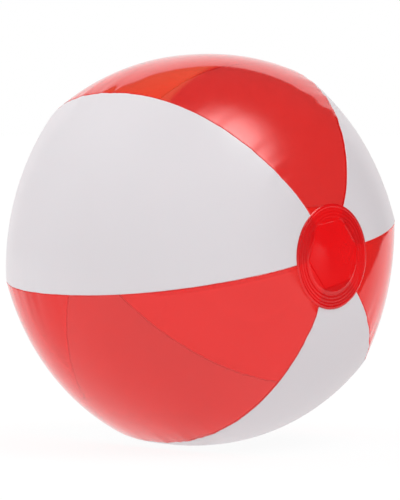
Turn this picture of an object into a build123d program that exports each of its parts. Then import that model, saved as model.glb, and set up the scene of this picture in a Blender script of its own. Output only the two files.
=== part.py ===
"""Inflatable beach ball: six welded gores, two end discs and an inflation valve, in millimetres.

The origin is the ball's centre and +Z is up. The polar axis, on which all the gores end, lies
along Y: the plain end disc faces -Y and the disc with the valve faces +Y.
"""

import os
from math import asin, cos, hypot, pi, radians, sin, sqrt, tan

from build123d import *

# Ball: the shape that the air gives the film
gore_names = ("gore_1", "gore_2", "gore_3", "gore_4", "gore_5", "gore_6")
gore_radius = 136.0  # polar axis to the middle of a gore, at the equator
pole_height = 121.8  # centre to the flat cap in which the gores end
meridian_power = 2.19  # 2 makes the meridian an ellipse, more makes it squarer
bulge_offset = 41.5  # a gore's cross-sections are arcs whose centre is this far past the polar axis
ball_roll = 10.9  # degrees from +X up to the first seam
meridian_spans = 8  # spans of the meridian curve from the equator to a cap

# Film and welds
film = 0.25  # gore film
disc_film = 0.5  # end discs are cut from heavier film
weld_depth = 3.5  # depth of the welded fins inside the ball
flange_room = 4.3  # between the valve's flange and the straight ends of the gores
disc_lap = 13.5  # width of the end disc's weld outside the corners of the hole between gore ends
cap_margin = 1.6  # flat film left around an end disc
ring_count = 3  # pressed rings in an end disc's weld
ring_pitch = 3.6
ring_width = 0.9
ring_depth = 0.12
ring_margin = 1.4  # plain edge outside the outermost ring

# Valve: stem
nozzle_bore_radius = 3.5
stem_length = 17.0
stem_proud = 2.2  # height of the mouth above the end disc when the stem is pushed in
stem_wall = 1.0  # around the plug's seat
collar_lip = 1.0  # how far the collar at the mouth stands out from the stem
collar_height = 1.9
seat_floor = 0.6  # between the plug's tip and the step below it
plug_clearance = 0.2  # between the plug and the seat's wall, also while the plug swings out

# Valve: plug and strap
shank_radius = 4.0
shank_tip_radius = 3.2
shank_length = 4.4
plug_cap_lap = 1.4  # how far the cap reaches outside the seat
plug_cap_thickness = 1.4
plug_cap_round = 0.35
plug_lift = 0.1  # between the cap and the mouth
tab_width = 4.0
tab_reach = 2.4  # how far the finger tab stands out from the cap
tab_thickness = 0.9
strap_width = 3.5
strap_thickness = 1.0
strap_round = 0.8
strap_flat_margin = 0.3  # flat left on the cap beside the strap
strap_gap = 0.2  # between the strap's knuckle and the collar
knuckle_radius = 0.8
pivot_depth = 0.3  # the strap's pivot below the mouth

# Valve: flange and flexible web
web_span = 4.6  # from the stem out to the hole's edge
web_thickness = 0.6
web_overlap = 1.8  # width of the web's rim under the flange
web_depth = 5.0  # from the web's rim in to its root on the stem
moving_gap = 0.25  # between the web and the stem that moves in it
flange_width = 5.2
flange_thickness = 0.8

# Valve: check flap
flap_lap = 0.9  # how far the flap reaches outside the bore
flap_thickness = 0.5
flap_gap = 0.1  # between the closed flap and the stem's inner end
flap_knuckle_radius = 0.4
flap_hinge_reach = 0.3  # from the flap's edge to its hinge line
flap_hinge_width = 4.0

# Places along the polar axis
half_gore = 180.0 / len(gore_names)
valve_face = pole_height + disc_film
mouth = valve_face + stem_proud
stem_end = mouth - stem_length
seat_end = mouth - shank_length - seat_floor
pivot_y = mouth - pivot_depth
cap_bottom = mouth + plug_lift
cap_top = cap_bottom + plug_cap_thickness
web_top = pole_height - flange_thickness
web_root = web_top - web_thickness - web_depth
flap_top = stem_end - flap_gap
flap_pivot_y = flap_top - flap_knuckle_radius

# The strap's pivot stands clear of the collar, and the seat clears the plug's tip as it swings
# out about that pivot. The collar's size follows from the seat's, so the plug's shank sets both.
straight_seat = shank_radius + plug_clearance
collar_room = stem_wall + collar_lip + strap_gap + knuckle_radius


def swing_reach(seat):
    """How far from the polar axis the plug's tip passes, in a seat of a given radius."""
    pivot = seat + collar_room
    return hypot(pivot + shank_tip_radius, shank_length - pivot_depth) - pivot


seat_radius = max(straight_seat, swing_reach(straight_seat) + plug_clearance)
stem_radius = seat_radius + stem_wall
collar_radius = stem_radius + collar_lip
pivot_height = seat_radius + collar_room
plug_cap_radius = seat_radius + plug_cap_lap
plug_flat = sqrt(plug_cap_radius**2 - (strap_width / 2 + strap_flat_margin) ** 2)
flap_radius = nozzle_bore_radius + flap_lap
flap_pivot_height = flap_radius + flap_hinge_reach
valve_hole_radius = stem_radius + web_span
flange_radius = valve_hole_radius + flange_width
gore_end = flange_radius + flange_room  # polar axis to the straight end of a gore
disc_radius = gore_end / cos(radians(half_gore)) + disc_lap
cap_radius = disc_radius + cap_margin  # where a gore's curve meets the flat cap


def meridian(depth):
    """Middle line of a gore, from cap to cap, at a depth below the outer face: (x, y) points."""
    radius = gore_radius - depth
    height = pole_height - depth
    share = cap_radius / radius
    full_height = height / (1 - share**meridian_power) ** (1 / meridian_power)
    cap_angle = asin(share ** (meridian_power / 2))
    upper = []
    for step in range(meridian_spans):
        angle = cap_angle + (pi / 2 - cap_angle) * step / meridian_spans
        across = radius * sin(angle) ** (2 / meridian_power)
        along = full_height * cos(angle) ** (2 / meridian_power)
        upper.append((across, along))
    lower = [(across, -along) for across, along in reversed(upper)]
    return upper + [(radius, 0.0)] + lower


def gore_solid(depth, inner_depth):
    """Film between two depths, swept about the gore's own axis and wider than the gore."""
    outer = meridian(depth)
    inner = meridian(inner_depth)
    reach = gore_end / 2
    corners = [(reach, outer[0][1]), (reach, inner[0][1])]
    mirrored = [(across, -along) for across, along in corners]
    section = make_face(
        [
            Spline(outer),
            Line(outer[0], corners[0]),
            Line(corners[0], corners[1]),
            Line(corners[1], inner[0]),
            Spline(inner),
            Line(outer[-1], mirrored[0]),
            Line(mirrored[0], mirrored[1]),
            Line(mirrored[1], inner[-1]),
        ]
    )
    own_axis = Axis((-bulge_offset, 0, 0), (0, 1, 0))
    swept = revolve(section, axis=own_axis, revolution_arc=2 * half_gore)
    return swept.rotate(own_axis, -half_gore)


def wedge(start, side_gap):
    """The space between the two seam planes, less a gap along each, from a distance outwards."""
    slope = tan(radians(half_gore))
    inset = side_gap / cos(radians(half_gore))
    far = 2 * gore_radius
    near_half = start * slope - inset
    far_half = far * slope - inset
    outline = Polyline(
        [(start, near_half), (far, far_half), (far, -far_half), (start, -near_half)],
        close=True,
    )
    flat = Plane.XZ * make_face(outline)
    return extrude(flat, amount=2 * pole_height, both=True)


def gore():
    """One gore about +X: a thin shell with a weld fin folded in along each seam."""
    thick = gore_solid(0, weld_depth) & wedge(gore_end, 0)
    hollow = gore_solid(film, 2 * weld_depth) & wedge(gore_end - weld_depth, film)
    return thick - hollow


def turned(profile):
    """Solid of revolution about the polar axis from (radius, y) corners."""
    face = make_face(Polyline(profile, close=True))
    return revolve(face, axis=Axis.Y)


def tube(outer, inner, low, high):
    """Ring or tube about the polar axis between two heights along it."""
    return turned([(inner, low), (outer, low), (outer, high), (inner, high)])


def rod(radius, low, high):
    """Round bar on the polar axis between two heights along it."""
    return turned([(0, low), (radius, low), (radius, high), (0, high)])


def block(width, y_low, y_high, z_low, z_high):
    """Box centred on X."""
    centre = (0, (y_low + y_high) / 2, (z_low + z_high) / 2)
    return Pos(*centre) * Box(width, y_high - y_low, z_high - z_low)


def cross_pin(radius, width, y, z):
    """Round bar along X."""
    return Pos(0, y, z) * Rot(0, 90, 0) * Cylinder(radius, width)


def plain_disc():
    """End disc on the +Y cap, with rings pressed into its outer face where it is welded."""
    disc = rod(disc_radius, pole_height, valve_face)
    for number in range(ring_count):
        outer = disc_radius - ring_margin - number * ring_pitch
        disc -= tube(outer, outer - ring_width, valve_face - ring_depth, valve_face)
    return disc


def front_disc():
    return Rot(0, 0, 180) * plain_disc()


def valve_disc():
    return plain_disc() - rod(valve_hole_radius, pole_height, valve_face)


def flange():
    return tube(flange_radius, valve_hole_radius, web_top, pole_height)


def web():
    """Flat rim under the flange, and a cone in to the stem."""
    root_radius = stem_radius + moving_gap
    rim_radius = valve_hole_radius + web_overlap
    rim_low = web_top - web_thickness
    return turned(
        [
            (rim_radius, web_top),
            (valve_hole_radius, web_top),
            (root_radius, web_root + web_thickness),
            (root_radius, web_root),
            (root_radius + web_thickness, web_root),
            (valve_hole_radius, rim_low),
            (rim_radius, rim_low),
        ]
    )


def stem():
    """Tube with a collar at its mouth, a seat for the plug and a smaller bore below it."""
    body = rod(stem_radius, stem_end, mouth)
    collar = rod(collar_radius, mouth - collar_height, mouth)
    collar = fillet(collar.edges().group_by(Axis.Y)[0], collar_height / 4)
    seat = rod(seat_radius, seat_end, mouth)
    bore = rod(nozzle_bore_radius, stem_end, mouth)
    return body + collar - seat - bore


def plug():
    """Cap with a flat for the strap, a tapered shank and a finger tab."""
    shank = turned(
        [
            (0, mouth - shank_length),
            (shank_tip_radius, mouth - shank_length),
            (shank_radius, cap_bottom),
            (0, cap_bottom),
        ]
    )
    cap = rod(plug_cap_radius, cap_bottom, cap_top)
    cap = fillet(cap.edges().group_by(Axis.Y)[-1], plug_cap_round)
    cap -= block(2 * plug_cap_radius, cap_bottom, cap_top, plug_flat, 2 * plug_cap_radius)
    tab_end = plug_cap_radius + tab_reach
    tab = block(tab_width, cap_bottom, cap_bottom + tab_thickness, -tab_end, -plug_cap_radius / 2)
    tab = fillet(tab.edges().filter_by(Axis.Y).group_by(Axis.Z)[0], tab_width / 3)
    return shank + cap + tab


def strap():
    """Band from the flat on the plug's cap over the collar, down to a round knuckle."""
    top = cap_top - plug_cap_round
    outside = pivot_height + knuckle_radius
    inside = pivot_height - knuckle_radius
    over = block(strap_width, top - strap_thickness, top, plug_flat, outside)
    down = block(strap_width, pivot_y, top, inside, outside)
    band = over + down
    corner = band.edges().filter_by(Axis.X).group_by(Axis.Z)[-1].sort_by(Axis.Y)[-1]
    band = fillet(corner, strap_round)
    return band + cross_pin(knuckle_radius, strap_width, pivot_y, pivot_height)


def flap():
    """Round flap under the bore, with a knuckle along its hinge line."""
    low = flap_top - flap_thickness
    plate = rod(flap_radius, low, flap_top)
    tongue = block(flap_hinge_width, low, flap_top, 0, flap_pivot_height)
    knuckle = cross_pin(flap_knuckle_radius, flap_hinge_width, flap_pivot_y, flap_pivot_height)
    return plate + tongue + knuckle


nodes = {
    "end_disc_front": front_disc(),
    "end_disc_valve": valve_disc(),
    "valve_flange": flange(),
    "valve_diaphragm": web(),
    "valve_stem": stem(),
    "valve_plug": plug(),
    "valve_strap": strap(),
    "valve_flap": flap(),
}
one_gore = gore()
for number, name in enumerate(gore_names):
    middle = ball_roll + half_gore * (2 * number + 1)
    nodes[name] = Rot(0, -middle, 0) * one_gore

os.makedirs("parts", exist_ok=True)
for name, shape in nodes.items():
    export_step(shape, f"parts/{name}.step")
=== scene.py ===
"""Looks of the inflatable beach ball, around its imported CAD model. Metres, in the CAD's frame.

The ball's centre is the origin and its polar axis lies along Y. Each film piece is a thin closed
shell, with its outer and inner walls both modelled, so light crosses two surfaces per film.
"""

import bpy
import numpy as np
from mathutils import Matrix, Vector


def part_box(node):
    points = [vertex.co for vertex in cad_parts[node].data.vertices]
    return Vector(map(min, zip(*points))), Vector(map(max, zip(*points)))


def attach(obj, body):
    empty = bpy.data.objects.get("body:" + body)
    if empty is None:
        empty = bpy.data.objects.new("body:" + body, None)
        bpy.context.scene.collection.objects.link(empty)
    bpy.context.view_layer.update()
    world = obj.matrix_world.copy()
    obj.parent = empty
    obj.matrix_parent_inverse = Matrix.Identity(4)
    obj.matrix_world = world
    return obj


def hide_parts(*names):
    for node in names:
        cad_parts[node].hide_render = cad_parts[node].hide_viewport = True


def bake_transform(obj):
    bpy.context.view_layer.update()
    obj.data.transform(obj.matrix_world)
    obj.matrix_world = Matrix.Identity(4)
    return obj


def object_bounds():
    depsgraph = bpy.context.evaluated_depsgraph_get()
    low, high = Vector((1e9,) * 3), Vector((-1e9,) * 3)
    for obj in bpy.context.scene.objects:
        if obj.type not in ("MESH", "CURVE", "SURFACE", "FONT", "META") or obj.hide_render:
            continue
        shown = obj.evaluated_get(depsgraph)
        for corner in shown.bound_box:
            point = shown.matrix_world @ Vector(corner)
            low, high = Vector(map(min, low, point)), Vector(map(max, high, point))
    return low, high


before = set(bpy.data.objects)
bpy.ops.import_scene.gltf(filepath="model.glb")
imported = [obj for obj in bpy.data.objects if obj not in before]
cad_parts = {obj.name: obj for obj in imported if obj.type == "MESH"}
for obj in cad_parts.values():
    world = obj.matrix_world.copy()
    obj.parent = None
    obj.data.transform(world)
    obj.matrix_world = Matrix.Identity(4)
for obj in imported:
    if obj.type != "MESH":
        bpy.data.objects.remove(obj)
cad_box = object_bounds()

MM = 0.001
GORES = [f"gore_{number}" for number in range(1, 7)]

# Places from the CAD
DISC_LOW, DISC_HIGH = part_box("end_disc_front")
FLANGE_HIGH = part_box("valve_flange")[1]
WEB_LOW, WEB_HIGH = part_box("valve_diaphragm")
FLOOR = cad_box[0].z
POLE = -DISC_HIGH.y
DISC_RADIUS = DISC_HIGH.x
DISC_FILM = DISC_HIGH.y - DISC_LOW.y
HOLE_RADIUS = 9.8 * MM
STEM_RADIUS = 5.2 * MM

# The inflated shape
GORE_RADIUS = 136 * MM
BULGE_OFFSET = 41.5 * MM
POWER = 2.19
GORE_END = FLANGE_HIGH.x + 6.5 * MM  # where the gores stop under the end discs
CAP_RADIUS = DISC_RADIUS + 1.6 * MM
CAP_SOFTNESS = 1.2 * MM  # rounds the film where it meets the flat cap
SPREAD = np.radians(30)  # half of an even gore
ROLL = 10.9  # degrees from +X up to the first seam
SEAM_DRIFT = (0, -1.9, -1.6, 0.2, 0.1, 3.0)  # degrees that each seam has pulled off its even place
SEAM_ANGLES = [np.radians(ROLL + 60 * k + SEAM_DRIFT[k % 6]) for k in range(7)]
DISC_SLIP = -2.0 * MM  # how far the end discs sit below the polar axis

# Film, welds and puckers. Lengths are metres, and a lean is in degrees
FILM = 0.25 * MM
SEAM_ROUND = 0.7 * MM
SEAM_GAP = 0.02 * MM  # between the two films of a weld
FIN_WIDTH, FIN_LEAN = 0.8 * MM, 10  # each fin leans over towards the red film
FLAP_SEAM = 3  # the red film's fin lies nearly flat here, and is wide, near the front disc
FLAP_WIDTH, FLAP_LEAN = 5.5 * MM, 76
FLAP_START, FLAP_FULL = 0.38, 0.56  # how far forward the flap begins and is whole, over GORE_RADIUS
PUCKER_HEIGHT = 0.22 * MM
PUCKER_REACH = 11 * MM
PUCKER_WAVES = ((0.31, 1.0), (0.53, 0.7), (0.87, 0.45))  # radians per mm along the seam, share
PUCKER_PATCH = 0.045  # radians per mm, the slow change from puckered to smooth
PUCKER_SEED = 40

# Mesh density
STATIONS = 150
ACROSS = 44
FIN_STEPS = 4
ROUND_STEPS = 5
SHARP_ANGLE = np.radians(35)


# ---------------------------------------------------------------- shapes


def smoothstep(low, high, value):
    """Soft rise from 0 at low to 1 at high."""
    share = np.clip((value - low) / (high - low), 0, 1)
    return share * share * (3 - 2 * share)


def soft_min(a, b, softness):
    """The smaller of two numbers, with a rounded change from one to the other."""
    return -softness * np.logaddexp(-a / softness, -b / softness)


def film_height(radius):
    """How far along the polar axis the middle of a gore lies at a radius, rounded into the cap."""
    share = CAP_RADIUS / GORE_RADIUS
    full_height = POLE / (1 - share**POWER) ** (1 / POWER)
    inside = np.clip(1 - (radius / GORE_RADIUS) ** POWER, 0, 1)
    return soft_min(full_height * inside ** (1 / POWER), POLE, CAP_SOFTNESS)


def meridian():
    """Radius and y of evenly spaced stations along a gore's middle, from the front end back."""
    angle = np.linspace(np.arcsin((GORE_END / GORE_RADIUS) ** (POWER / 2)), np.pi / 2, 2000)
    radius = GORE_RADIUS * np.sin(angle) ** (2 / POWER)
    height = film_height(radius)
    radius = np.concatenate([radius, radius[-2::-1]])
    height = np.concatenate([-height, height[-2::-1]])
    length = np.concatenate([[0], np.cumsum(np.hypot(np.diff(radius), np.diff(height)))])
    even = np.linspace(0, length[-1], STATIONS)
    return np.interp(even, length, radius), np.interp(even, length, height), even


def section(radius, angle):
    """Distance from the polar axis at an angle off a gore's middle."""
    bulge = radius + BULGE_OFFSET
    arc = np.sqrt(bulge**2 - (BULGE_OFFSET * np.sin(angle)) ** 2) - BULGE_OFFSET * np.cos(angle)
    straight = GORE_END / np.cos(angle)
    return arc + smoothstep(CAP_RADIUS, GORE_END, radius) * (straight - arc)


def puckers(seam, along, distance):
    """Height of the small gathers beside a seam."""
    rng = np.random.default_rng(PUCKER_SEED + seam % 6)
    wave = 0
    for pitch, share in PUCKER_WAVES:
        phase, stretch = rng.uniform(0, 6.28), rng.uniform(0.85, 1.15)
        wave = wave + share * np.sin(pitch * stretch * along / MM + phase)
    patch = 0.55 + 0.45 * np.sin(PUCKER_PATCH * along / MM + rng.uniform(0, 6.28))
    return PUCKER_HEIGHT * patch * wave * np.exp(-distance / PUCKER_REACH)


def gore_side(first, side, start, ridge, height):
    """Rows of points that round one edge of a gore into its seam and run down the fin."""
    seam = first if side < 0 else first + 1
    turn = SEAM_ANGLES[seam]
    seam_normal = np.array([-np.sin(turn), 0, np.cos(turn)])
    radial = np.array([np.cos(turn), 0, np.sin(turn)])
    slope = np.gradient(ridge, axis=0)
    inward = (slope @ radial)[:, None] * np.array([0, 1, 0]) - slope[:, 1:2] * radial
    inward /= np.linalg.norm(inward, axis=-1, keepdims=True)
    ridge = ridge - side * SEAM_GAP * seam_normal
    bottom = ridge + SEAM_ROUND * inward
    rows = []
    for step in range(1, ROUND_STEPS + 1):
        t = step / ROUND_STEPS
        rows.append((1 - t) ** 2 * start + 2 * t * (1 - t) * ridge + t**2 * bottom)
    aside = seam_normal if seam % 2 else -seam_normal
    front = smoothstep(-FLAP_START * GORE_RADIUS, -FLAP_FULL * GORE_RADIUS, height)
    front = front * (seam == FLAP_SEAM)
    full = np.radians(FIN_LEAN + (FLAP_LEAN - FIN_LEAN) * front)
    width = (FIN_WIDTH + (FLAP_WIDTH - FIN_WIDTH) * front * (first % 2))[:, None]
    spot = rows[-1]
    for step in range(1, FIN_STEPS + 1):
        lean = (full * step / FIN_STEPS)[:, None]
        spot = spot + width / FIN_STEPS * (np.cos(lean) * inward + np.sin(lean) * aside)
        rows.append(spot)
    return np.stack(rows, 1)


def gore_grid(first):
    """Outer wall of the gore between two seams, fins included: (stations, across, 3)."""
    radius, height, along = meridian()
    low, high = SEAM_ANGLES[first], SEAM_ANGLES[first + 1]
    middle, half = (low + high) / 2, (high - low) / 2

    def surface(share):
        """Points at a share from -1 to 1 across the gore, one row per station."""
        share = np.broadcast_to(share, (STATIONS, share.shape[-1]))
        angle = middle + share * half
        out = section(radius[:, None], share * SPREAD)
        rise = 0
        for side, seam in ((-1, first), (1, first + 1)):
            distance = out * half * (1 - side * share)
            rise = rise + puckers(seam, along[:, None], distance)
        y = height[:, None] + 0 * out
        flat = np.stack([out * np.cos(angle), y, out * np.sin(angle)], -1)
        outward = flat / np.linalg.norm(flat, axis=-1, keepdims=True)
        return flat + rise[..., None] * outward

    edge = 1 - SEAM_ROUND / (section(radius, SPREAD) * half)
    main = surface(np.linspace(-1, 1, ACROSS)[None, :] * edge[:, None])
    sides = []
    for side, start in ((-1, main[:, 0]), (1, main[:, -1])):
        ridge = surface(np.full((1, 1), float(side)))[:, 0]
        sides.append(gore_side(first, side, start, ridge, height))
    return np.concatenate([sides[0][:, ::-1], main, sides[1]], 1)


def grid_normals(grid):
    """Unit normals at the points of a grid."""
    across = np.gradient(grid, axis=1)
    down = np.gradient(grid, axis=0)
    normal = np.cross(down, across)
    return normal / np.maximum(np.linalg.norm(normal, axis=-1, keepdims=True), 1e-12)


def grid_faces(rows, columns, start, wrap):
    """Quads of a grid of vertices whose numbers begin at start."""
    last = columns if wrap else columns - 1
    i, j = np.meshgrid(np.arange(rows - 1), np.arange(last), indexing="ij")
    k = (j + 1) % columns
    here, below = i * columns, (i + 1) * columns
    return np.stack([here + j, here + k, below + k, below + j], -1).reshape(-1, 4) + start


def band(first, second, wrap):
    """Quads that join two equally long lines of vertices."""
    a, b = np.asarray(first), np.asarray(second)
    if wrap:
        return np.stack([a, np.roll(a, -1), np.roll(b, -1), b], -1)
    return np.stack([a[:-1], a[1:], b[1:], b[:-1]], -1)


def mesh_object(name, points, faces, walls):
    """Smooth mesh, whose faces take the material of their wall: 0 outer, 1 inner."""
    mesh = bpy.data.meshes.new(name)
    mesh.from_pydata(points.reshape(-1, 3).tolist(), [], faces.tolist())
    mesh.polygons.foreach_set("material_index", walls)
    mesh.polygons.foreach_set("use_smooth", [True] * len(mesh.polygons))
    mesh.set_sharp_from_angle(angle=SHARP_ANGLE)
    piece = bpy.data.objects.new(name, mesh)
    bpy.context.scene.collection.objects.link(piece)
    return piece


def shell(name, outer, thickness, wrap=False):
    """Closed thin shell from a grid of outer points, thickened inwards. Its inner wall has the
    second material."""
    rows, columns = outer.shape[:2]
    if wrap:
        padded = np.concatenate([outer[:, -1:], outer, outer[:, :1]], 1)
        normal = grid_normals(padded)[:, 1:-1]
    else:
        normal = grid_normals(outer)
    centre_side = np.sign((normal * outer).sum(-1).mean())
    inner = outer - centre_side * thickness * normal
    number = np.arange(rows * columns).reshape(rows, columns)
    far = number + rows * columns
    parts = [grid_faces(rows, columns, 0, wrap)]
    parts.append(grid_faces(rows, columns, rows * columns, wrap)[:, ::-1])
    parts.append(band(number[0], far[0], wrap)[:, ::-1])
    parts.append(band(number[-1], far[-1], wrap))
    if not wrap:
        parts.append(band(number[:, 0], far[:, 0], False))
        parts.append(band(number[:, -1], far[:, -1], False)[:, ::-1])
    faces = np.concatenate(parts)
    if centre_side > 0:
        faces = faces[:, ::-1]
    walls = np.zeros(len(faces), int)
    walls[len(parts[0]) : 2 * len(parts[0])] = 1
    points = np.concatenate([outer.reshape(-1, 3), inner.reshape(-1, 3)])
    return mesh_object(name, points, faces, walls)


# End discs
DISC_RINGS = 110
DISC_SPOKES = 144
WELD_BAND = 11.0 * MM  # width of the pressed weld at the rim
WELD_INNER = DISC_RADIUS - WELD_BAND
WELD_STEP = 0.35 * MM  # the middle stands this far above the weld
RIB_PITCH = 2.3 * MM
RIB_HEIGHT = 0.08 * MM
HATCH_PITCH = 1.3 * MM
FRONT_DOME, VALVE_DOME = 1.0 * MM, 0.1 * MM  # the strap lies down on the valve's disc
RIM_ROUND, RIM_DROP = 0.8 * MM, 0.4 * MM
BEAD_IN, BEAD_HALF, BEAD_HEIGHT = 1.7 * MM, 0.6 * MM, 0.25 * MM  # raised line inside the rim


def disc_height(across, up, dome):
    """Outer face of an end disc above the centre, over the disc's own plane coordinates."""
    radius = np.hypot(across, up)
    height = film_height(np.maximum(radius, GORE_END)) + DISC_FILM
    inside = np.full_like(radius, -1.0)
    for first in range(6):
        middle = (SEAM_ANGLES[first] + SEAM_ANGLES[first + 1]) / 2
        reach = across * np.cos(middle) + (up + DISC_SLIP) * np.sin(middle)
        inside = np.maximum(inside, reach)
    height = height - FILM * (1 - smoothstep(GORE_END - 0.5 * MM, GORE_END + 0.5 * MM, inside))
    from_rim = DISC_RADIUS - radius
    height = height + dome * (1 - smoothstep(0, WELD_INNER, radius)) ** 0.8
    weld = 1 - smoothstep(WELD_BAND - 1.5 * MM, WELD_BAND, from_rim)
    ribs = 0.5 - 0.5 * np.cos(2 * np.pi * from_rim / RIB_PITCH)
    height = height + RIB_HEIGHT * weld * ribs
    step_out = smoothstep(WELD_BAND - 1.2 * MM, WELD_BAND + 1.2 * MM, from_rim)
    height = height + WELD_STEP * step_out
    height = height + BEAD_HEIGHT * np.exp(-(((from_rim - BEAD_IN) / BEAD_HALF) ** 2))
    rim = np.clip(1 - from_rim / RIM_ROUND, 0, 1)
    return height - RIM_DROP * rim**2


def disc(name, side, hole, dome):
    """End disc on the front (side -1) or the back (side 1), open in the middle by a hole radius."""
    radius = np.linspace(max(hole, 0.05 * MM), DISC_RADIUS, DISC_RINGS)[:, None]
    angle = np.linspace(0, 2 * np.pi, DISC_SPOKES, endpoint=False)[None, :]
    across, up = radius * np.cos(angle), radius * np.sin(angle)
    y = side * disc_height(across, up, dome)
    return shell(name, np.stack([across, y, up + DISC_SLIP], -1), DISC_FILM * 0.9, wrap=True)


# Valve web
WEB_FOLDS = 60
WEB_SPOKES = 96
WEB_FILM = 0.6 * MM


def valve_web():
    """Soft web between the flange and the stem, which turns inside out as the stem is pulled."""
    share = np.linspace(0, 1, WEB_FOLDS)
    rim = WEB_HIGH.x
    root = STEM_RADIUS - 0.15 * MM  # welded into the stem's wall
    lip = HOLE_RADIUS - 0.3 * MM
    flat = smoothstep(0, 0.2, share)
    fall = smoothstep(0.2, 0.95, share)
    radius = rim + (lip - rim) * flat + (root - lip) * smoothstep(0.2, 1.0, share)
    y = WEB_HIGH.y - (WEB_HIGH.y - WEB_LOW.y - WEB_FILM) * fall
    angle = np.linspace(0, 2 * np.pi, WEB_SPOKES, endpoint=False)
    grid = np.stack(
        [
            radius[:, None] * np.cos(angle),
            y[:, None] + 0 * angle,
            radius[:, None] * np.sin(angle),
        ],
        -1,
    )
    return shell("valve_web_skin", grid, WEB_FILM, wrap=True)


# ---------------------------------------------------------------- materials


class Nodes:
    """Short calls for building a material's or world's node tree."""

    def __init__(self, owner):
        owner.use_nodes = True
        self.tree = owner.node_tree
        self.tree.nodes.clear()

    def add(self, kind, **values):
        node = self.tree.nodes.new(kind)
        for key, value in values.items():
            setattr(node, key, value)
        return node

    def link(self, source, target):
        self.tree.links.new(source, target)

    def put(self, value, socket):
        """Sets a socket to a number or colour, or links it to another socket."""
        if isinstance(value, bpy.types.NodeSocket):
            self.link(value, socket)
        else:
            socket.default_value = value

    def math(self, operation, a, b=None):
        node = self.add("ShaderNodeMath", operation=operation)
        self.put(a, node.inputs[0])
        if b is not None:
            self.put(b, node.inputs[1])
        return node.outputs[0]

    def mix_shader(self, factor, first, second):
        node = self.add("ShaderNodeMixShader")
        self.put(factor, node.inputs[0])
        self.link(first, node.inputs[1])
        self.link(second, node.inputs[2])
        return node.outputs[0]

    def mix_colour(self, factor, first, second):
        node = self.add("ShaderNodeMix", data_type="RGBA")
        self.put(factor, node.inputs[0])
        self.put(first, node.inputs[6])
        self.put(second, node.inputs[7])
        return node.outputs[2]

    def product(self, first, *others):
        for other in others:
            first = self.math("MULTIPLY", first, other)
        return first

    def along(self, vector, axis):
        """Length of a vector socket along a fixed axis."""
        node = self.add("ShaderNodeVectorMath", operation="DOT_PRODUCT")
        self.link(vector, node.inputs[0])
        node.inputs[1].default_value = axis
        return node.outputs["Value"]

    def noise(self, scale, detail):
        node = self.add("ShaderNodeTexNoise")
        node.inputs["Scale"].default_value = scale
        node.inputs["Detail"].default_value = detail
        self.link(self.add("ShaderNodeTexCoord").outputs["Object"], node.inputs["Vector"])
        return node.outputs["Fac"]

    def light(self, kind, strength, colour=(1, 1, 1, 1)):
        """Emission or world background of a strength and colour."""
        node = self.add(kind)
        node.inputs["Color"].default_value = colour
        self.put(strength, node.inputs["Strength"])
        return node.outputs[0]

    def output(self, surface, kind="ShaderNodeOutputMaterial"):
        self.link(surface, self.add(kind).inputs["Surface"])

    def bump(self, height, strength, distance, before=None):
        node = self.add("ShaderNodeBump")
        node.inputs["Strength"].default_value = strength
        node.inputs["Distance"].default_value = distance
        self.link(height, node.inputs["Height"])
        if before is not None:
            self.link(before, node.inputs["Normal"])
        return node.outputs["Normal"]

    def ramp(self, factor, stops):
        """Straight change between two ends: stops are (from, to, value there, value there)."""
        node = self.add("ShaderNodeMapRange", clamp=True)
        low, high, out_low, out_high = stops
        self.put(factor, node.inputs["Value"])
        node.inputs["From Min"].default_value = low
        node.inputs["From Max"].default_value = high
        node.inputs["To Min"].default_value = out_low
        node.inputs["To Max"].default_value = out_high
        return node.outputs["Result"]

    def gloss_share(self, straight, normal):
        """Mirror share of one film surface: Schlick's curve, the same from both sides."""
        facing = self.add("ShaderNodeLayerWeight")
        facing.inputs["Blend"].default_value = 0.5
        self.link(normal, facing.inputs["Normal"])
        grazing = self.math("POWER", facing.outputs["Facing"], 5.0)
        return self.math("ADD", self.math("MULTIPLY", grazing, 1 - straight), straight)


FILM_MIRROR = 0.04  # mirror share of plastic film, looked at straight
CLOUD = (0.35, 0.65, 0.0, 1.0)
SOFT_CLOUD = (0.3, 0.7, 0.0, 1.0)


def film_relief(nodes):
    """Long soft waves and a fine orange peel in the film."""
    waves = nodes.bump(nodes.noise(28, 2.0), 0.35, 0.6 * MM)
    return nodes.bump(nodes.noise(420, 3.0), 0.12, 0.08 * MM, waves)


def clear_film(name, passed, solid, haze, relief=film_relief, roughness=0.06):
    """Transparent film: each wall passes a colour, scatters a share (the haze) and mirrors."""
    material = bpy.data.materials.new(name)
    nodes = Nodes(material)
    normal = relief(nodes)
    through = nodes.add("ShaderNodeBsdfTransparent")
    nodes.put(passed(nodes), through.inputs["Color"])
    body = nodes.add("ShaderNodeBsdfDiffuse")
    nodes.put(solid, body.inputs["Color"])
    nodes.link(normal, body.inputs["Normal"])
    onward = nodes.add("ShaderNodeBsdfTranslucent")
    nodes.put(solid, onward.inputs["Color"])
    nodes.link(normal, onward.inputs["Normal"])
    scattered = nodes.mix_shader(0.5, body.outputs[0], onward.outputs[0])
    film = nodes.mix_shader(haze, through.outputs[0], scattered)
    gloss = nodes.add("ShaderNodeBsdfGlossy")
    gloss.inputs["Color"].default_value = (1, 1, 1, 1)
    gloss.inputs["Roughness"].default_value = roughness
    nodes.link(normal, gloss.inputs["Normal"])
    share = nodes.gloss_share(FILM_MIRROR, normal)
    nodes.output(nodes.mix_shader(share, film, gloss.outputs[0]))
    return material


def red_passed(nodes):
    """Red that one wall lets through, a little uneven as the dye is."""
    cloud = nodes.ramp(nodes.noise(9, 3.0), CLOUD)
    return nodes.mix_colour(cloud, (1.0, 0.405, 0.385, 1), (0.99, 0.370, 0.350, 1))


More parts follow.
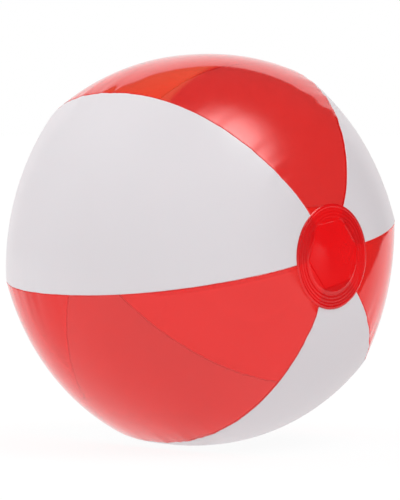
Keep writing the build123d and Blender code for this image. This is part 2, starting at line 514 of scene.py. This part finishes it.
def disc_place(nodes):
    """Sockets of a point's x, its height above the disc's centre, and its distance from it."""
    place = nodes.add("ShaderNodeSeparateXYZ")
    nodes.link(nodes.add("ShaderNodeTexCoord").outputs["Object"], place.inputs[0])
    across = place.outputs[0]
    up = nodes.math("SUBTRACT", place.outputs[2], DISC_SLIP)
    square = nodes.math("ADD", nodes.math("POWER", across, 2.0), nodes.math("POWER", up, 2.0))
    return across, up, nodes.math("SQRT", square)


def disc_passed(nodes):
    """Deep red, darker in the lines that the weld tool pressed and along the cut rim."""
    cloud = nodes.ramp(nodes.noise(40, 2.0), CLOUD)
    plain = nodes.mix_colour(cloud, (0.995, 0.11, 0.125, 1), (0.985, 0.08, 0.095, 1))
    radius = disc_place(nodes)[2]
    turns = nodes.math("MULTIPLY", radius, 2 * np.pi / RIB_PITCH)
    groove = nodes.ramp(nodes.math("SINE", turns), (0.35, 1.0, 0.0, 0.28))
    in_weld = nodes.ramp(radius, (WELD_INNER, WELD_INNER + 1 * MM, 0.0, 1.0))
    groove = nodes.math("MULTIPLY", groove, in_weld)
    rim = nodes.ramp(radius, (DISC_RADIUS - 1.1 * MM, DISC_RADIUS - 0.4 * MM, 0.0, 1.0))
    return nodes.mix_colour(nodes.math("MAXIMUM", groove, rim), plain, (0.86, 0.04, 0.05, 1))


def disc_relief(nodes):
    """Film relief, with the fine cross-hatch of the weld tool in the rim's band."""
    base = film_relief(nodes)
    across, up, radius = disc_place(nodes)
    waves = []
    for operation in ("ADD", "SUBTRACT"):
        diagonal = nodes.math(operation, across, up)
        turns = nodes.math("MULTIPLY", diagonal, 2 * np.pi / HATCH_PITCH)
        waves.append(nodes.math("SINE", turns))
    lines = nodes.math("ADD", waves[0], waves[1])
    in_weld = nodes.ramp(radius, (WELD_INNER - 0.3 * MM, WELD_INNER + 0.3 * MM, 0.0, 1.0))
    return nodes.bump(nodes.math("MULTIPLY", lines, in_weld), 0.2, 0.04 * MM, base)


def white_film(name, low, high, onward):
    """Milky white film. A share of what falls on it, onward, goes through."""
    material = bpy.data.materials.new(name)
    nodes = Nodes(material)
    normal = film_relief(nodes)
    cloud = nodes.ramp(nodes.noise(7, 3.0), SOFT_CLOUD)
    colour = nodes.mix_colour(cloud, low, high)
    face = nodes.add("ShaderNodeBsdfPrincipled")
    nodes.link(colour, face.inputs["Base Color"])
    face.inputs["Roughness"].default_value = 0.28
    nodes.link(normal, face.inputs["Normal"])
    inside = nodes.add("ShaderNodeBsdfTranslucent")
    nodes.link(colour, inside.inputs["Color"])
    nodes.link(normal, inside.inputs["Normal"])
    nodes.output(nodes.mix_shader(onward, face.outputs[0], inside.outputs[0]))
    return material


def soft_pvc(name, low, high):
    """Milky moulded PVC with a satin skin."""
    material = bpy.data.materials.new(name)
    nodes = Nodes(material)
    grain = nodes.noise(900, 3.0)
    cloud = nodes.ramp(nodes.noise(160, 3.0), SOFT_CLOUD)
    face = nodes.add("ShaderNodeBsdfPrincipled")
    nodes.link(nodes.mix_colour(cloud, low, high), face.inputs["Base Color"])
    nodes.link(nodes.ramp(grain, (0.3, 0.7, 0.30, 0.44)), face.inputs["Roughness"])
    face.inputs["Subsurface Weight"].default_value = 0.25
    face.inputs["Subsurface Radius"].default_value = (1.0, 0.9, 0.8)
    face.inputs["Subsurface Scale"].default_value = 1.5 * MM
    nodes.link(nodes.bump(grain, 0.15, 0.05 * MM), face.inputs["Normal"])
    nodes.output(face.outputs[0])
    return material


# ---------------------------------------------------------------- studio

# The camera: back is the direction from the ball to the camera
AZIMUTH, ELEVATION = np.radians(-46.5), np.radians(2.28)
CAMERA_DISTANCE = 2.252
LENS = 231.5
FRAME_SHIFT = (0.9 * MM, 0.9 * MM)  # the ball sits this far right of and above the frame's middle

# The light. Directions are (right, up, towards the camera); strengths are radiance, 1 is white
BACKDROP_SIDE, BACKDROP_TOP = 0.80, 0.86  # reach of the backdrop, over its distance
BACKDROP_SOFT = 0.04  # softness of the backdrop's edges, measured the same way
SWEEP_HALF, SWEEP_SPREAD = 0.85, 0.61  # metres of white floor to the right, more by this behind
SWEEP_SOFT, SWEEP_FRONT = 0.05, -0.4  # softness of its edge, and where its dark side fades out
ROOM_MIRRORED, SIDE_MIRRORED, WALLS_MIRRORED = 0.10, 0.03, 0.55  # room, floor's side, walls
LEFT_WALL, FRONT_WALL = (-0.65, -0.35), (0.40, 0.66)  # where each wall begins, as a direction
SEEN_THROUGH_FILM = 0.72  # strength of the white behind the ball, through clear film
BOX_CENTRE, BOX_LENGTHWISE = (0.484, 0.835, 0.262), (-0.682, 0.548, -0.485)
BOX_LENGTH, BOX_WIDTH, BOX_STRENGTH = 0.43, 0.27, 8.0
BOX_EDGE = 1.27  # the power that sets how fast the soft box fades at its edge
BOX_LIGHT = 0.50  # share of the soft box's strength that lights matt surfaces
FLOOR_GLOW = 0.90  # share of the floor that glows by itself, and the rest takes the ball's shadow
FLOOR_MIRRORED = 0.9  # share of the floor that gloss shows as plain white or dark, not as lit
FLOOR_SIZE = 60  # metres to each side
BACK_LIGHT, BACK_STRENGTH = (-0.60, 0.00, -0.80), 1.85
FRONT_LIGHT, FRONT_STRENGTH = (-0.50, 0.10, 0.85), 1.02
TOP_STRENGTH = 0.70
WARM_COLOUR = (1.0, 0.80, 0.30, 1)  # a warm lamp above and behind, seen only in the gloss
WARM_SLANT, WARM_EDGE = 0.35, -0.21  # how far its right edge slants, and where that edge is
WARM_REACH = -0.38  # where its left edge is


def add_camera():
    """Camera at the photograph's angle. Returns the directions back to it and to its right."""
    back = Vector(
        (
            np.sin(AZIMUTH) * np.cos(ELEVATION),
            -np.cos(AZIMUTH) * np.cos(ELEVATION),
            np.sin(ELEVATION),
        )
    )
    right = Vector((np.cos(AZIMUTH), np.sin(AZIMUTH), 0))
    up = back.cross(right)
    camera = bpy.data.objects.new("camera", bpy.data.cameras.new("camera"))
    camera.data.lens = LENS
    camera.data.sensor_width = 36
    camera.data.clip_end = 50
    camera.location = back * CAMERA_DISTANCE - right * FRAME_SHIFT[0] - up * FRAME_SHIFT[1]
    camera.rotation_mode = "QUATERNION"
    camera.rotation_quaternion = (-back).to_track_quat("-Z", "Y")
    bpy.context.scene.collection.objects.link(camera)
    bpy.context.scene.camera = camera
    return back, right


def seen_strength(nodes, rays):
    """White where nothing is in front, and the backdrop's own pale grey through clear film."""
    behind_film = nodes.math("MINIMUM", rays.outputs["Transparent Depth"], 1.0)
    behind_film = nodes.math("MULTIPLY", behind_film, rays.outputs["Is Camera Ray"])
    return nodes.ramp(behind_film, (0.0, 1.0, 1.0, SEEN_THROUGH_FILM))


class Room:
    """Directions of the studio around the ball, as sockets of the world's node tree."""

    def __init__(self, nodes, back, right):
        self.nodes = nodes
        self.direction = nodes.add("ShaderNodeTexCoord").outputs["Generated"]
        self.right, self.up = right, Vector((0, 0, 1))
        self.level = Vector((back.x, back.y, 0)).normalized()
        self.behind = nodes.math("MAXIMUM", self.along(-self.level), 0.001)
        self.upwards = nodes.math("DIVIDE", self.along(self.up), self.behind)
        self.at_back = nodes.ramp(self.behind, (0.01, 0.05, 0.0, 1.0))

    def along(self, axis):
        return self.nodes.along(self.direction, axis)

    def towards(self, parts):
        """Direction made of parts to the right, up and towards the camera."""
        return (parts[0] * self.right + parts[1] * self.up + parts[2] * self.level).normalized()


def backdrop(nodes, room):
    """1 on the white backdrop behind the ball, and 0 around it."""
    sideways = nodes.math("DIVIDE", nodes.math("ABSOLUTE", room.along(room.right)), room.behind)
    return nodes.product(
        nodes.ramp(sideways, (BACKDROP_SIDE - BACKDROP_SOFT, BACKDROP_SIDE, 1.0, 0.0)),
        nodes.ramp(room.upwards, (BACKDROP_TOP - BACKDROP_SOFT, BACKDROP_TOP, 1.0, 0.0)),
        room.at_back,
    )


def soft_box(nodes, room):
    """Strength of the long soft box above the ball."""
    centre = room.towards(BOX_CENTRE)
    lengthwise = room.towards(BOX_LENGTHWISE)
    lengthwise = (lengthwise - centre * lengthwise.dot(centre)).normalized()
    facing = nodes.math("MAXIMUM", room.along(centre), 0.001)
    spread = 0.0
    for axis, reach in ((lengthwise, BOX_LENGTH), (centre.cross(lengthwise), BOX_WIDTH)):
        off = nodes.math("DIVIDE", nodes.math("DIVIDE", room.along(axis), facing), reach)
        square = nodes.math("POWER", nodes.math("ABSOLUTE", off), 2.0)
        spread = nodes.math("ADD", square, spread)
    spread = nodes.math("POWER", spread, BOX_EDGE)
    fall = nodes.math("EXPONENT", nodes.math("MULTIPLY", spread, -1.0))
    return nodes.math("MULTIPLY", fall, BOX_STRENGTH)


def matt_light(nodes, room, box):
    """Strength of the light on matt surfaces: large dim lights and a share of the soft box."""
    from_back = nodes.ramp(room.along(room.towards(BACK_LIGHT)), (0.3, 1.0, 0.0, BACK_STRENGTH))
    from_front = nodes.ramp(room.along(room.towards(FRONT_LIGHT)), (-0.2, 1.0, 0.0, FRONT_STRENGTH))
    from_top = nodes.ramp(room.along(room.up), (0.2, 1.0, 0.0, TOP_STRENGTH))
    lights = nodes.math("ADD", nodes.math("ADD", from_back, from_front), from_top)
    return nodes.math("ADD", nodes.math("MULTIPLY", box, BOX_LIGHT), lights)


def mirrored_room(nodes, room, box):
    """Strength of what gloss shows: backdrop, grey left and front walls, and the soft box."""
    white = nodes.math("MULTIPLY", backdrop(nodes, room), 1 - ROOM_MIRRORED)
    white = nodes.math("ADD", white, ROOM_MIRRORED)
    walls = nodes.math(
        "MAXIMUM",
        nodes.ramp(room.along(room.right), (*LEFT_WALL, WALLS_MIRRORED, 0.0)),
        nodes.ramp(room.along(room.level), (*FRONT_WALL, 0.0, WALLS_MIRRORED)),
    )
    above_floor = nodes.ramp(room.along(room.up), (-0.02, 0.05, 0.0, 1.0))
    walls = nodes.math("MULTIPLY", walls, above_floor)
    return nodes.math("ADD", box, nodes.math("MAXIMUM", white, walls))


def warm_lamp(nodes, room):
    """Strength of the warm lamp above the backdrop, which ends at a slanted edge."""
    slant = nodes.math("MULTIPLY", room.behind, WARM_SLANT)
    slant = nodes.math("SUBTRACT", room.along(room.right), slant)
    return nodes.product(
        nodes.ramp(slant, (WARM_EDGE - 0.02, WARM_EDGE + 0.02, 1.0, 0.0)),
        nodes.ramp(room.along(room.right), (WARM_REACH - 0.05, WARM_REACH, 0.0, 1.0)),
        nodes.ramp(room.upwards, (BACKDROP_TOP - BACKDROP_SOFT, BACKDROP_TOP, 0.0, 1.0)),
        room.at_back,
        nodes.ramp(room.along(room.up), (0.62, 0.95, 0.30, 1.0)),
    )


def add_world(back, right):
    """The studio: white to the camera, lamps to matt surfaces, and a room to glossy ones."""
    world = bpy.data.worlds.new("studio")
    bpy.context.scene.world = world
    nodes = Nodes(world)
    room = Room(nodes, back, right)
    box = soft_box(nodes, room)
    rays = nodes.add("ShaderNodeLightPath")
    kind = "ShaderNodeBackground"
    matt = nodes.light(kind, matt_light(nodes, room, box))
    glossy = nodes.add("ShaderNodeAddShader")
    nodes.link(nodes.light(kind, mirrored_room(nodes, room, box)), glossy.inputs[0])
    nodes.link(nodes.light(kind, warm_lamp(nodes, room), WARM_COLOUR), glossy.inputs[1])
    white = nodes.light(kind, seen_strength(nodes, rays))
    unseen = nodes.mix_shader(rays.outputs["Is Glossy Ray"], matt, glossy.outputs[0])
    seen = nodes.math("MAXIMUM", rays.outputs["Is Camera Ray"], rays.outputs["Is Transmission Ray"])
    nodes.output(nodes.mix_shader(seen, unseen, white), "ShaderNodeOutputWorld")


def floor_object():
    """Large flat square at the height that the ball rests on."""
    mesh = bpy.data.meshes.new("floor")
    corners = [(x * FLOOR_SIZE, y * FLOOR_SIZE, FLOOR) for x, y in ((-1, -1), (1, -1), (1, 1), (-1, 1))]
    mesh.from_pydata(corners, [], [(0, 1, 2, 3)])
    floor = bpy.data.objects.new("floor", mesh)
    bpy.context.scene.collection.objects.link(floor)
    return floor


def add_floor(back, right):
    """Pale floor that keeps the ball's shadow. Its right side mirrors dark."""
    floor = floor_object()
    material = bpy.data.materials.new("floor")
    nodes = Nodes(material)
    place = nodes.add("ShaderNodeTexCoord").outputs["Object"]
    matt = nodes.add("ShaderNodeBsdfDiffuse")
    shade = nodes.ramp(nodes.noise(3, 2.0), SOFT_CLOUD)
    pale = nodes.mix_colour(shade, (0.96, 0.96, 0.96, 1), (0.94, 0.94, 0.94, 1))
    nodes.link(pale, matt.inputs["Color"])
    rays = nodes.add("ShaderNodeLightPath")
    to_right = nodes.along(place, right)
    to_back = nodes.along(place, Vector((-back.x, -back.y, 0)).normalized())
    growth = nodes.math("MULTIPLY", nodes.math("MAXIMUM", to_back, 0.0), SWEEP_SPREAD)
    edge = nodes.math("SUBTRACT", to_right, growth)
    start, end = SWEEP_HALF - SWEEP_SOFT, SWEEP_HALF + SWEEP_SOFT
    dark = nodes.product(
        nodes.ramp(edge, (start, end, 0.0, 1 - SIDE_MIRRORED)),
        nodes.ramp(to_back, (SWEEP_FRONT, 0.0, 0.0, 1.0)),
    )
    glow = nodes.light("ShaderNodeEmission", seen_strength(nodes, rays))
    mirror = nodes.light("ShaderNodeEmission", nodes.math("SUBTRACT", 1.0, dark))
    surface = nodes.mix_shader(FLOOR_GLOW, matt.outputs[0], glow)
    glossy = nodes.math("MULTIPLY", rays.outputs["Is Glossy Ray"], FLOOR_MIRRORED)
    nodes.output(nodes.mix_shader(glossy, surface, mirror))
    floor.data.materials.append(material)


# ---------------------------------------------------------------- the ball

back, right = add_camera()
add_world(back, right)
add_floor(back, right)

WHITE = white_film("white_film", (0.735, 0.752, 0.780, 1), (0.753, 0.770, 0.798, 1), 0.22)
# Painted light: the inner wall of the same white film is given a much paler colour and lets more
# through than the outer wall, so that the ball's inside looks brighter.
WHITE_INSIDE_PAINTED_LIGHT = white_film(
    "white_film_inside_painted_light", (0.985, 0.980, 0.980, 1), (0.975, 0.970, 0.970, 1), 0.32
)
RED = clear_film("red_film", red_passed, (1.0, 0.04, 0.03, 1), 0.10)
DISC = clear_film("red_disc_film", disc_passed, (0.97, 0.02, 0.03, 1), 0.32, disc_relief, 0.10)
VALVE = soft_pvc("valve_pvc", (0.75, 0.74, 0.72, 1), (0.80, 0.79, 0.77, 1))
PLUG = soft_pvc("plug_pvc", (0.76, 0.75, 0.74, 1), (0.81, 0.80, 0.79, 1))


def dress(piece, slot, node, *walls):
    """Gives a piece the materials of its walls, and hides the CAD node that it stands for. The slot
    argument is not used.
    """
    for material in walls:
        piece.data.materials.append(material)
    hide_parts(node)


for first, name in enumerate(GORES):
    piece = shell(name + "_skin", gore_grid(first), FILM)
    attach(piece, "ball")
    if first % 2:
        dress(piece, "red_film", name, RED, RED)
    else:
        dress(piece, "white_film", name, WHITE, WHITE_INSIDE_PAINTED_LIGHT)

front = disc("front_disc_skin", -1, 0, FRONT_DOME)
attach(front, "ball")
dress(front, "red_disc_film", "end_disc_front", DISC, DISC)
rear = disc("valve_disc_skin", 1, HOLE_RADIUS, VALVE_DOME)
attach(rear, "ball")
dress(rear, "red_disc_film", "end_disc_valve", DISC, DISC)

web = valve_web()
dress(web, "valve_pvc", "valve_diaphragm", VALVE, VALVE)
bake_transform(web)

for material, names in (
    (VALVE, ("valve_flange", "valve_stem", "valve_flap")),
    (PLUG, ("valve_plug", "valve_strap")),
):
    for name in names:
        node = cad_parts[name]
        node.data.materials.clear()
        node.data.materials.append(material)

scene = bpy.context.scene
scene.view_settings.view_transform = "Standard"
scene.cycles.max_bounces = 24
scene.cycles.diffuse_bounces = 16
scene.cycles.transparent_max_bounces = 24
